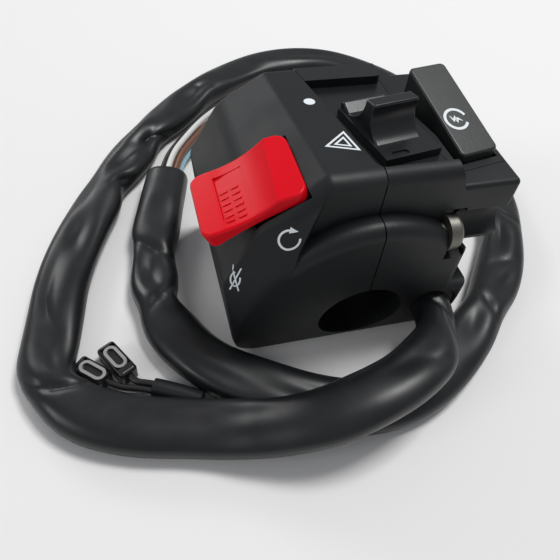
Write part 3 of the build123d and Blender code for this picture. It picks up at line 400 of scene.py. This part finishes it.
NODE_MATERIALS = {
    "kill_side_housing": housing_black,
    "start_side_housing": housing_black,
    "kill_rocker": rocker_red,
    "rocker_pin": steel,
    "rocker_plunger": brass,
    "rocker_spring": steel,
    "kill_switch_base": inner_brown,
    "kill_contacts": brass,
    "kill_base_screws": steel,
    "hazard_slot_plate": button_black,
    "hazard_knob": button_black,
    "hazard_contact_blade": brass,
    "hazard_switch_base": inner_brown,
    "hazard_fixed_contacts": brass,
    "start_bezel": housing_black,
    "start_button": start_black,
    "start_contact_blade": brass,
    "start_switch_base": inner_brown,
    "start_fixed_contacts": brass,
    "clamp_screws": dull_steel,
    "screw_washers": dull_steel,
    "harness_grommet": rubber_black,
    "main_connector": connector_black,
    "terminal_boots": boot_black,
    "brake_terminals": tinned,
}


def dress_nodes():
    """Give each kept node its material."""
    for name, material in NODE_MATERIALS.items():
        target = nodes[name]
        if not target.data.materials:
            target.data.materials.append(material)
        for slot in target.material_slots:
            slot.link = "OBJECT"
            slot.material = material


# Camera, floor and light, with the stage's lengths in metres

FLOOR_REACH = 3.0
FLOOR_COLOUR = (0.86, 0.855, 0.845, 1)
FLOOR_ROUGHNESS = 0.9
LIGHT_AIM = (0, 0, 0.03)
# Each light's place, its two sides and its power in watts
LIGHTS = {
    "key_light": ((0.34, 0.14, 1.0), (0.3, 0.3), 7),
    "back_light": ((-0.45, 0.95, 0.55), (0.5, 0.25), 2.5),
    "fill_light": ((-0.95, -0.2, 0.6), (0.3, 0.4), 1.6),
}
WORLD_COLOUR = (0.93, 0.95, 1, 1)
WORLD_STRENGTH = 0.32


def make_camera():
    """The photograph's camera, turned about its own view by the roll."""
    azimuth, elevation, roll = CAMERA_AZIMUTH, CAMERA_ELEVATION, CAMERA_ROLL
    back = Vector(
        (
            math.sin(azimuth) * math.cos(elevation),
            -math.cos(azimuth) * math.cos(elevation),
            math.sin(elevation),
        )
    )
    right = Vector((math.cos(azimuth), math.sin(azimuth), 0))
    up = back.cross(right)
    turned_right = right * math.cos(roll) + up * math.sin(roll)
    turned_up = up * math.cos(roll) - right * math.sin(roll)
    data = bpy.data.cameras.new("camera")
    data.lens = CAMERA_LENS
    data.sensor_width = CAMERA_SENSOR
    data.clip_start = CAMERA_NEAR
    data.clip_end = CAMERA_FAR
    camera = link("camera", data)
    rows = Matrix((turned_right, turned_up, back)).transposed().to_4x4()
    rows.translation = at(*CAMERA_EYE)
    camera.matrix_world = rows
    bpy.context.scene.camera = camera


def make_floor():
    """A pale floor on which the part lies."""
    size = FLOOR_REACH
    verts = [(-size, -size, 0), (size, -size, 0), (size, size, 0), (-size, size, 0)]
    material, tree, _ = new_material("floor_pale")
    shader = tree["Principled BSDF"]
    shader.inputs["Base Color"].default_value = FLOOR_COLOUR
    shader.inputs["Roughness"].default_value = FLOOR_ROUGHNESS
    floor = mesh_object("floor", verts, [(0, 1, 2, 3)], material, smooth=False)


def area_light(name, place, target, size, power):
    """A rectangular light that faces its target."""
    data = bpy.data.lights.new(name, "AREA")
    data.shape = "RECTANGLE"
    data.size, data.size_y = size
    data.energy = power
    lamp = link(name, data)
    lamp.location = place
    lamp.rotation_mode = "QUATERNION"
    lamp.rotation_quaternion = (Vector(target) - Vector(place)).to_track_quat("-Z", "Y")


def make_light():
    """Three lights and a dim, slightly blue world."""
    for name, (place, size, power) in LIGHTS.items():
        area_light(name, place, LIGHT_AIM, size, power)
    world = bpy.data.worlds.new("studio")
    bpy.context.scene.world = world
    world.use_nodes = True
    background = world.node_tree.nodes["Background"]
    background.inputs["Color"].default_value = WORLD_COLOUR
    background.inputs["Strength"].default_value = WORLD_STRENGTH
    bpy.context.scene.view_settings.view_transform = "Standard"


# Harness sleeve: a thin-walled vinyl tube that lies flattened, with soft kinks at its bends

SLEEVE_STEP = 1.0
SLEEVE_SIDES = 60
SLEEVE_HALF_WIDTH = 7.1
SLEEVE_HALF_HEIGHT = 4.2
SLEEVE_WALL = 0.7
SLEEVE_SINK = 0.15
SECTION_POWER = 0.86
INSIDE_RINGS = 14

# The sleeve leaves the grommet round and is flat further on: distances from its start
ROUND_UNTIL = 6
FLAT_FROM = 26
# Its open mouth stands up again: distances from its end, and by how much
MOUTH_FROM = 26
MOUTH_FULL = 10
MOUTH_NARROWER = 0.5
MOUTH_HIGHER = 1.0
# Heights of its middle up to which it lies on the ground, and from which it hangs free
LYING_HEIGHT = 5.2
FREE_HEIGHT = 7.5

# Slow waves along the sleeve: their size, their pace, and the line of the noise they follow
SWELL_WIDTH = 0.4
SWELL_HEIGHT = 0.35
SWELL_PACE = 0.045
SWELL_LINE = 3.1
ROLL_SIZE = math.radians(10)
ROLL_PACE = 0.02
ROLL_LINE = 8.7
RIPPLE_SIZE = 0.3
RIPPLE_PACE = 0.035
RIPPLE_ROUND = 1.3

# A fold is cut off at these multiples of its reach along and round
FOLD_LIMIT_ALONG = 4
FOLD_LIMIT_ROUND = 3

# Soft dents: distance along, side in degrees (0 the inner side of the loops, 90 the top,
# 180 the outer side), depth, reach along, reach round in radians, slant per radian
SLEEVE_DENTS = [
    (14, 140, 1.6, 6, 0.7, 3),
    (32, 70, 0.8, 10, 0.45, -4),
    (74, 75, 0.6, 14, 0.35, 5),
    (126, 180, -0.7, 4, 0.5, 0),
    (130, 60, 2.0, 9, 0.8, 4),
    (150, 110, 0.9, 14, 0.35, 9),
    (172, 85, 1.6, 9, 0.6, 5),
    (190, 130, 0.8, 10, 0.5, -6),
    (197, 15, 1.6, 5, 0.8, 3),
    (207, 80, 1.9, 8, 0.65, -5),
    (219, 50, 2.0, 6, 0.7, 6),
    (214, 105, -0.6, 9, 0.35, 4),
    (236, 125, 0.8, 8, 0.5, 4),
    (252, 75, 2.1, 9, 0.65, 5),
    (265, 110, -0.5, 8, 0.4, 3),
    (280, 70, 0.9, 9, 0.45, -4),
    (310, 90, 0.7, 12, 0.4, 4),
    (345, 60, 0.8, 10, 0.5, -4),
    (385, 90, 0.9, 9, 0.45, 4),
    (428, 110, 1.2, 8, 0.5, -5),
    (447, 70, 1.3, 8, 0.4, 6),
    (466, 115, 1.3, 7, 0.4, -6),
    (484, 80, 1.2, 7, 0.5, 5),
    (538, 85, 0.9, 12, 0.35, -5),
    (562, 120, 0.9, 9, 0.35, 5),
    (578, 80, -0.5, 6, 0.35, 5),
    (600, 105, 2.2, 7, 0.85, 0),
    (605, 180, 1.0, 7, 0.6, 0),
    (588, 0, 1.3, 5, 0.7, 0),
]
# Sharp creases, in the same measures
SLEEVE_CREASES = [
    (7, 100, 1.2, 1.6, 0.8, 4),
    (24, 130, 0.8, 2.0, 0.6, -6),
    (120, 95, 2.0, 2.2, 1.2, 4),
    (144, 105, 0.7, 2.4, 0.45, 14),
    (197, 40, 0.9, 2.0, 0.7, -5),
    (223, 35, 1.7, 3.0, 1.0, -7),
    (258, 90, 0.8, 2.2, 0.6, -5),
    (436, 90, 0.9, 1.8, 0.6, 5),
    (457, 95, 0.9, 1.8, 0.6, -6),
    (476, 95, 0.9, 1.8, 0.6, 5),
    (591, 80, 1.5, 2.6, 1.0, -4),
    (609, 100, 1.9, 2.2, 1.1, 3),
]
# Waists, where a kink pulls the flattened sleeve in: distance along, depth, reach along
SLEEVE_WAISTS = [
    (122, 0.9, 6),
    (197, 0.9, 7),
    (224, 1.6, 7),
    (258, 0.8, 8),
    (440, 1.0, 9),
    (476, 1.0, 8),
    (590, 1.2, 5),
    (609, 0.8, 5),
]
# How much higher a waist makes the sleeve, as a share of its depth
WAIST_RISE = 0.4


def waist_depth(spot):
    """How much the sleeve's half width shrinks at a distance along it."""
    depth = 0.0
    for place, deep, reach in SLEEVE_WAISTS:
        depth += deep * math.exp(-(((spot - place) / reach) ** 2))
    return depth


def fold_depth(spot, angle):
    """How far the sleeve's wall is pushed in at a distance along it and an angle round it."""
    round_place = (math.cos(angle) * RIPPLE_ROUND, math.sin(angle) * RIPPLE_ROUND)
    depth = RIPPLE_SIZE * noise.noise(Vector((spot * RIPPLE_PACE, *round_place)))
    for folds, sharp in ((SLEEVE_DENTS, False), (SLEEVE_CREASES, True)):
        for place, side, deep, along, around, slant in folds:
            turn = (angle - math.radians(side) + math.pi) % (2 * math.pi) - math.pi
            off = abs(spot - place - slant * turn) / along
            if off > FOLD_LIMIT_ALONG or abs(turn) > FOLD_LIMIT_ROUND * around:
                continue
            shape = math.exp(-off) if sharp else math.exp(-off * off)
            depth += deep * shape * math.exp(-((turn / around) ** 2))
    return depth


def sleeve_section(spot, length):
    """Half width, half height and roll of the sleeve at a distance along it."""
    opened = smooth_step(ROUND_UNTIL, FLAT_FROM, spot)
    mouth = smooth_step(length - MOUTH_FROM, length - MOUTH_FULL, spot)
    swell = noise.noise(Vector((spot * SWELL_PACE, SWELL_LINE, 0)))
    wider = SLEEVE_HALF_WIDTH - SLEEVE_RADIUS + SWELL_WIDTH * swell
    higher = SLEEVE_HALF_HEIGHT - SLEEVE_RADIUS - SWELL_HEIGHT * swell
    waist = waist_depth(spot)
    width = SLEEVE_RADIUS + wider * opened - MOUTH_NARROWER * mouth - waist
    height = SLEEVE_RADIUS + higher * opened + MOUTH_HIGHER * mouth + WAIST_RISE * waist
    roll = ROLL_SIZE * noise.noise(Vector((spot * ROLL_PACE, ROLL_LINE, 0))) * opened
    return width, height, roll


def fuller(share):
    """A sine or cosine bent outward, which makes the section fuller than an ellipse."""
    return math.copysign(abs(share) ** SECTION_POWER, share)


def sleeve_rings(line, length):
    """The rings of the sleeve's skin, one at each point of its line."""
    verts = []
    last = len(line) - 1
    for index, centre in enumerate(line):
        along = (line[min(index + 1, last)] - line[max(index - 1, 0)]).normalized()
        side = along.cross(Vector((0, 0, 1))).normalized()
        rise = side.cross(along)
        spot = length / MM * index / last
        width, height, roll = sleeve_section(spot, length / MM)
        lowest = math.hypot(width * math.sin(roll), height * math.cos(roll))
        lying = 1 - smooth_step(LYING_HEIGHT, FREE_HEIGHT, centre.z / MM)
        drop = (SLEEVE_RADIUS - lowest - SLEEVE_SINK) * lying
        middle = centre - Vector((0, 0, drop * MM))
        for step in range(SLEEVE_SIDES):
            angle = 2 * math.pi * step / SLEEVE_SIDES
            across = width * fuller(math.cos(angle))
            above = height * fuller(math.sin(angle))
            kept = 1 - fold_depth(spot, angle) / math.hypot(across, above)
            across *= kept
            above *= kept
            turned = across * math.cos(roll) - above * math.sin(roll)
            lifted = across * math.sin(roll) + above * math.cos(roll)
            verts.append(middle + (side * turned + rise * lifted) * MM)
    return verts


def ring_faces(first, second):
    """The faces between two rings, given by their first points. They point into the solid."""
    faces = []
    for step in range(SLEEVE_SIDES):
        after = (step + 1) % SLEEVE_SIDES
        faces.append((first + step, first + after, second + after, second + step))
    return faces


def open_mouth(verts, faces, rim):
    """The open far end: the rim's thickness, and the inside going back to its floor."""
    inner = len(verts)
    for back in range(INSIDE_RINGS):
        ring = rim - back * SLEEVE_SIDES
        outer = [Vector(verts[ring + step]) for step in range(SLEEVE_SIDES)]
        middle = sum(outer, Vector()) / SLEEVE_SIDES
        for place in outer:
            arm = place - middle
            verts.append(middle + arm * (1 - SLEEVE_WALL * MM / arm.length))
    faces.extend(ring_faces(rim, inner))
    floor = inner + (INSIDE_RINGS - 1) * SLEEVE_SIDES
    for low in range(inner, floor, SLEEVE_SIDES):
        faces.extend(ring_faces(low, low + SLEEVE_SIDES))
    faces.append(tuple(floor + step for step in range(SLEEVE_SIDES)))


def sleeve_mesh():
    """The harness sleeve, with its line and its length."""
    line, length = resample(spline_line(SLEEVE_ROUTE), SLEEVE_STEP * MM)
    verts = sleeve_rings(line, length)
    rim = len(verts) - SLEEVE_SIDES
    faces = []
    for low in range(0, rim, SLEEVE_SIDES):
        faces.extend(ring_faces(low, low + SLEEVE_SIDES))
    open_mouth(verts, faces, rim)
    faces.append(tuple(reversed(range(SLEEVE_SIDES))))
    sleeve = mesh_object("harness_sleeve_skin", verts, faces, sleeve_black)
    return sleeve, line, length


# The brake switch branch and its two wires: route, diameter, material and slot
BRANCH_LOOKS = {
    "brake_branch_sleeve": (BRANCH_ROUTE, BRANCH_DIAMETER, sleeve_black, "sleeve_vinyl"),
    "near_terminal_wire": (NEAR_TERMINAL_ROUTE, BRANCH_WIRE_DIAMETER, wire_black, "black_insulation"),
    "far_terminal_wire": (FAR_TERMINAL_ROUTE, BRANCH_WIRE_DIAMETER, wire_black, "black_insulation"),
}
# The wires from the sleeve's open end to the connector: material and slot
WIRE_LOOKS = {
    "black_wire": (wire_black, "black_insulation"),
    "white_wire": (wire_white, "white_insulation"),
    "brown_wire": (wire_brown, "brown_insulation"),
    "second_brown_wire": (wire_brown, "brown_insulation"),
    "light_blue_wire": (wire_blue, "light_blue_insulation"),
    "green_yellow_wire": (wire_green, "green_yellow_insulation"),
}


def branch_pieces():
    """The brake switch branch and its two wires, which stand for their CAD solids."""
    pieces = []
    for name, (route, diameter, material, slot) in BRANCH_LOOKS.items():
        piece = nurbs_curve(f"{name}_skin", route, diameter / 2)
        piece.data.materials.append(material)
        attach(piece, "housing")
        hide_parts(name)
        pieces.append(piece)
    return pieces


def make_harness():
    """The sleeve with the branch it carries, then the wires that leave its open end."""
    sleeve, line, length = sleeve_mesh()
    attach(sleeve, "housing")
    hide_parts("harness_sleeve")
    carried = branch_pieces() + [nodes["terminal_boots"], nodes["brake_terminals"]]
    print("sleeve length", round(length / MM, 1))
    for name, (material, slot) in WIRE_LOOKS.items():
        points = wire_points(name)
        wire = nurbs_curve(f"{name}_lead", points, WIRE_DIAMETER / 2)
        wire.data.materials.append(material)
        _, run = resample(spline_line(points), MM)
        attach(wire, "housing")
        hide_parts(name)
        print(name, "length", round(run / MM, 1))


# Printed signs, and the raised bars on the rocker: strokes laid on the surface under them

STROKE_STEP = 0.5
PRINT_HEIGHT = 0.04
BAR_HEIGHT = 0.22
MARK_DEPTH = 0.08
# Height above a sign's centre from which its points are cast down on the surface
CAST_RISE = 8.0
# The least share by which a mitre's reach is divided, which keeps sharp corners short
MITRE_LEAST = 0.4
# Points in a stroke's section: two raised, two sunk
STROKE_POINTS = 4
ARC_PARTS = 28


def arc(radius, start, end, parts=ARC_PARTS):
    """Points of an arc in a sign's plane, its angles in degrees."""
    angles = [math.radians(start + (end - start) * step / parts) for step in range(parts + 1)]
    return [(radius * math.cos(angle), radius * math.sin(angle)) for angle in angles]


def loop(radius, corners):
    """A closed outline with equal sides, one corner up."""
    return [
        (radius * math.cos(angle), radius * math.sin(angle))
        for angle in (math.pi / 2 + 2 * math.pi * step / corners for step in range(corners))
    ]


def divided(points, widths, closed):
    """A stroke's points and widths with no step longer than STROKE_STEP."""
    ends = list(zip(points, widths))
    if closed:
        ends.append(ends[0])
    out = []
    for (before, wide), (after, narrow) in zip(ends, ends[1:]):
        parts = max(1, math.ceil(math.dist(before, after) / STROKE_STEP))
        for step in range(parts):
            share = step / parts
            spot = (
                before[0] + (after[0] - before[0]) * share,
                before[1] + (after[1] - before[1]) * share,
            )
            out.append((spot, wide + (narrow - wide) * share))
    if not closed:
        out.append(ends[-1])
    return out


def stroke_sides(points, widths, closed):
    """The two sides of a stroke, mitred at its corners."""
    line = divided(points, widths, closed)
    count = len(line)
    sides = []
    for index, (spot, width) in enumerate(line):
        before = line[(index - 1) % count][0] if closed or index else spot
        after = line[(index + 1) % count][0] if closed or index < count - 1 else spot
        into = Vector((spot[0] - before[0], spot[1] - before[1]))
        out = Vector((after[0] - spot[0], after[1] - spot[1]))
        into = into.normalized() if into.length > 0 else out.normalized()
        out = out.normalized() if out.length > 0 else into
        along = (into + out).normalized()
        reach = width / 2 / max(MITRE_LEAST, along.dot(out))
        sides.append(
            (
                (spot[0] - along.y * reach, spot[1] + along.x * reach),
                (spot[0] + along.y * reach, spot[1] - along.x * reach),
            )
        )
    return sides


def stroke_faces(first, count, closed):
    """The faces round a stroke whose points start at the first one."""
    faces = []
    for step in range(count if closed else count - 1):
        low = first + STROKE_POINTS * step
        high = first + STROKE_POINTS * ((step + 1) % count)
        faces.append((low, low + 1, high + 1, high))
        faces.append((low, high, high + 2, low + 2))
        faces.append((low + 1, low + 3, high + 3, high + 1))
        faces.append((low + 2, high + 2, high + 3, low + 3))
    if not closed:
        last = first + STROKE_POINTS * (count - 1)
        faces.append((first, first + 2, first + 3, first + 1))
        faces.append((last, last + 1, last + 3, last + 2))
    return faces


def surface_foot(tree, start, out):
    """The surface's point and direction below a start, or the nearest when none is below."""
    hit, face_normal, _, _ = tree.ray_cast(start, -out, 2 * CAST_RISE * MM)
    if hit is None:
        hit, face_normal, _, _ = tree.find_nearest(start)
    return hit, face_normal


def lay_mark(name, carrier, body, centre, normal, right, strokes, material, height):
    """A sign of flat strokes on a node's surface. A stroke is its points, widths and closing."""
    node = nodes[carrier]
    tree = BVHTree.FromPolygons(
        [vertex.co[:] for vertex in node.data.vertices],
        [face.vertices[:] for face in node.data.polygons],
    )
    out = Vector(normal).normalized()
    across = Vector(right)
    across = (across - out * across.dot(out)).normalized()
    up = out.cross(across)
    verts = []
    faces = []
    for points, widths, closed in strokes:
        first = len(verts)
        sides = stroke_sides(points, widths, closed)
        for pair in sides:
            feet = []
            for u, v in pair:
                start = at(*centre) + (across * u + up * v + out * CAST_RISE) * MM
                feet.append(surface_foot(tree, start, out))
            verts.extend(hit + face_normal * height * MM for hit, face_normal in feet)
            verts.extend(hit - face_normal * MARK_DEPTH * MM for hit, face_normal in feet)
        faces.extend(stroke_faces(first, len(sides), closed))
    mark = mesh_object(name, verts, faces, material, smooth=False)
    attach(mark, body)
    return mark


def even(points, width, closed=False):
    """A stroke of one width."""
    return points, [width] * len(points), closed


# The signs on top are turned by this angle about the vertical, on a deck that slopes slightly
DECK_TURN = math.radians(-20)
DECK_RIGHT = (math.cos(DECK_TURN), math.sin(DECK_TURN), 0)
DECK_NORMAL = (0, 0.048, 1)

# The off sign's ring is an arc drawn narrow and tall, with a tall cross through it
RING_NARROW = 0.62
RING_TALL = 1.15
CROSS_REACH = 1.0
CROSS_RISE = 3.2
CROSS_WIDTH = 0.34
OFF_RING = [(RING_NARROW * u, RING_TALL * v) for u, v in arc(1.7, 100, 380)]

RUN_BARB = ([(-0.1, 2.35), (1.75, 2.0)], [1.5, 0.05], False)
BOLT_LINE = [(-1.75, 0.45), (-0.55, -0.6), (-0.35, 0.4), (0.35, -0.55), (0.4, 0.3), (1.7, -0.1)]
BOLT_WIDTHS = [0.1, 0.55, 0.5, 0.5, 0.55, 0.1]

# Each sign's strokes
SIGN_STROKES = {
    "position_dot": [even(arc(0.7, 0, 340, 18), 1.38, True)],
    "hazard_sign": [even(loop(4.1, 3), 0.5, True), even(loop(1.95, 3), 0.45, True)],
    "run_sign": [even(arc(2.3, 88, 365), 0.5), RUN_BARB],
    "off_sign": [
        even(OFF_RING, 0.36),
        even([(-CROSS_REACH, CROSS_RISE), (CROSS_REACH, -CROSS_RISE)], CROSS_WIDTH),
        even([(CROSS_REACH, CROSS_RISE), (-CROSS_REACH, -CROSS_RISE)], CROSS_WIDTH),
    ],
    "start_sign": [even(arc(2.85, 42, 356), 0.72), (BOLT_LINE, BOLT_WIDTHS, False)],
}
# The node under each sign, its body, the sign's centre, the way out of the surface and the way
# to the sign's right
SIGN_PLACES = {
    "position_dot": (
        "kill_side_housing",
        "housing",
        (-8.15, 13.1, 53.0),
        DECK_NORMAL,
        DECK_RIGHT,
    ),
    "hazard_sign": (
        "kill_side_housing",
        "housing",
        (-5.7, -4.5, 53.8),
        DECK_NORMAL,
        DECK_RIGHT,
    ),
    "run_sign": (
        "kill_side_housing",
        "housing",
        (-21.4, -21.0, 42.8),
        (-0.2, -0.92, 0.33),
        (0.97, -0.2, 0),
    ),
    "off_sign": (
        "kill_side_housing",
        "housing",
        (-32.8, -20.6, 32.0),
        (-0.5, -0.84, 0.22),
        (0.86, -0.51, 0),
    ),
    "start_sign": (
        "start_button",
        "start_key",
        (24.2, 0.0, 54.0),
        (0.046, -0.263, 0.964),
        DECK_RIGHT,
    ),
}

# The rocker's raised bars, in two rows
BAR_ROWS = (-2.5, 0.3)
BAR_COUNT = 6
BAR_START = -4.6
BAR_PITCH = 1.84
BAR_REACH = 0.95
BAR_WIDTH = 0.75


def make_marks():
    """The printed signs and the rocker's bars."""
    for name, place in SIGN_PLACES.items():
        lay_mark(name, *place, SIGN_STROKES[name], print_white, PRINT_HEIGHT)
    bars = []
    for row in BAR_ROWS:
        for step in range(BAR_COUNT):
            along = BAR_START + BAR_PITCH * step
            bars.append(even([(along, row - BAR_REACH), (along, row + BAR_REACH)], BAR_WIDTH))
    grip = lay_mark(
        "rocker_bars",
        "kill_rocker",
        "rocker",
        (-32.4, -10.4, 44.6),
        (-0.4, 0, 0.917),
        (0, 1, 0),
        bars,
        rocker_red,
        BAR_HEIGHT,
    )


# The start button's return spring

SPRING_WIRE_DIAMETER = 0.35
SPRING_TURNS = 5
STEPS_PER_TURN = 24
SPRING_SIDES = 8


def make_start_spring():
    """A coil in the box of the spring's solid, standing on its foot."""
    low, high = (Vector(corner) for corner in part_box("start_spring"))
    middle = (low + high) / 2
    thick = SPRING_WIRE_DIAMETER * MM / 2
    radius = (high.x - low.x) / 2 - thick
    foot = low.z + thick
    rise = high.z - low.z - 2 * thick
    steps = SPRING_TURNS * STEPS_PER_TURN
    verts = []
    for step in range(steps + 1):
        angle = 2 * math.pi * step / STEPS_PER_TURN
        outward = Vector((math.cos(angle), math.sin(angle), 0))
        centre = Vector((middle.x, middle.y, foot + rise * step / steps)) + outward * radius
        for side in range(SPRING_SIDES):
            turn = 2 * math.pi * side / SPRING_SIDES
            arm = outward * math.cos(turn) + Vector((0, 0, math.sin(turn)))
            verts.append(centre + arm * thick)
    faces = [tuple(range(SPRING_SIDES))]
    for step in range(steps):
        for side in range(SPRING_SIDES):
            after = (side + 1) % SPRING_SIDES
            near = step * SPRING_SIDES
            ahead = near + SPRING_SIDES
            faces.append((near + side, ahead + side, ahead + after, near + after))
    last = steps * SPRING_SIDES
    faces.append(tuple(last + side for side in reversed(range(SPRING_SIDES))))
    spring = mesh_object("start_spring_coil", verts, faces, steel)
    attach(spring, "housing")
    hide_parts("start_spring")
    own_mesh(spring)


make_camera()
make_harness()
make_floor()
make_light()
dress_nodes()
make_marks()
make_start_spring()
